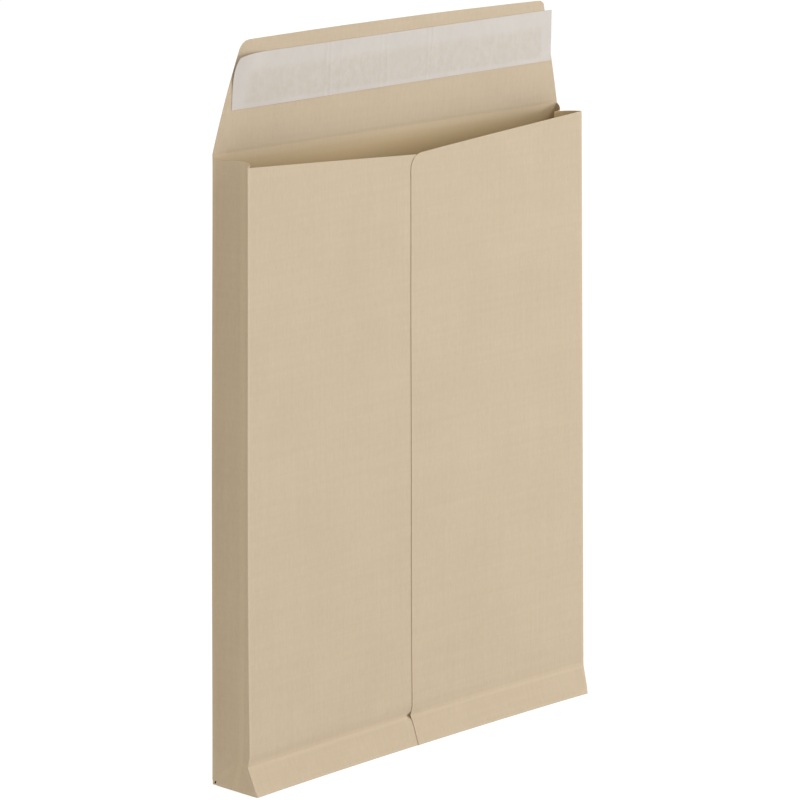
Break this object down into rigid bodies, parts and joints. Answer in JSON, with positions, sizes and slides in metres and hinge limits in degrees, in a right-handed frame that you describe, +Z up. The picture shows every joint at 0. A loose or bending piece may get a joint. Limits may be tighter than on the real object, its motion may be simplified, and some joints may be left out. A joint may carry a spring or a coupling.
{
  "type": "paper envelope",
  "caption": "Gusseted kraft paper envelope standing open on a flat base, with its flap raised and a release liner over the adhesive.",
  "frame": {"origin": "centre of the overall box at the level of the base's underside", "axes": "+Z up from the base to the flap's edge, +X along the width, +Y from the seamed front to the back panel that carries the flap"},
  "size_m": [0.2612, 0.0332, 0.3883],
  "materials": {
    "kraft_paper": "matte",
    "adhesive": "satin",
    "liner_paper": "satin"
  },
  "bodies": {
    "root": {"envelope": "kraft_paper", "adhesive_band": "adhesive", "release_liner": "liner_paper"}
  },
  "joints": []
}
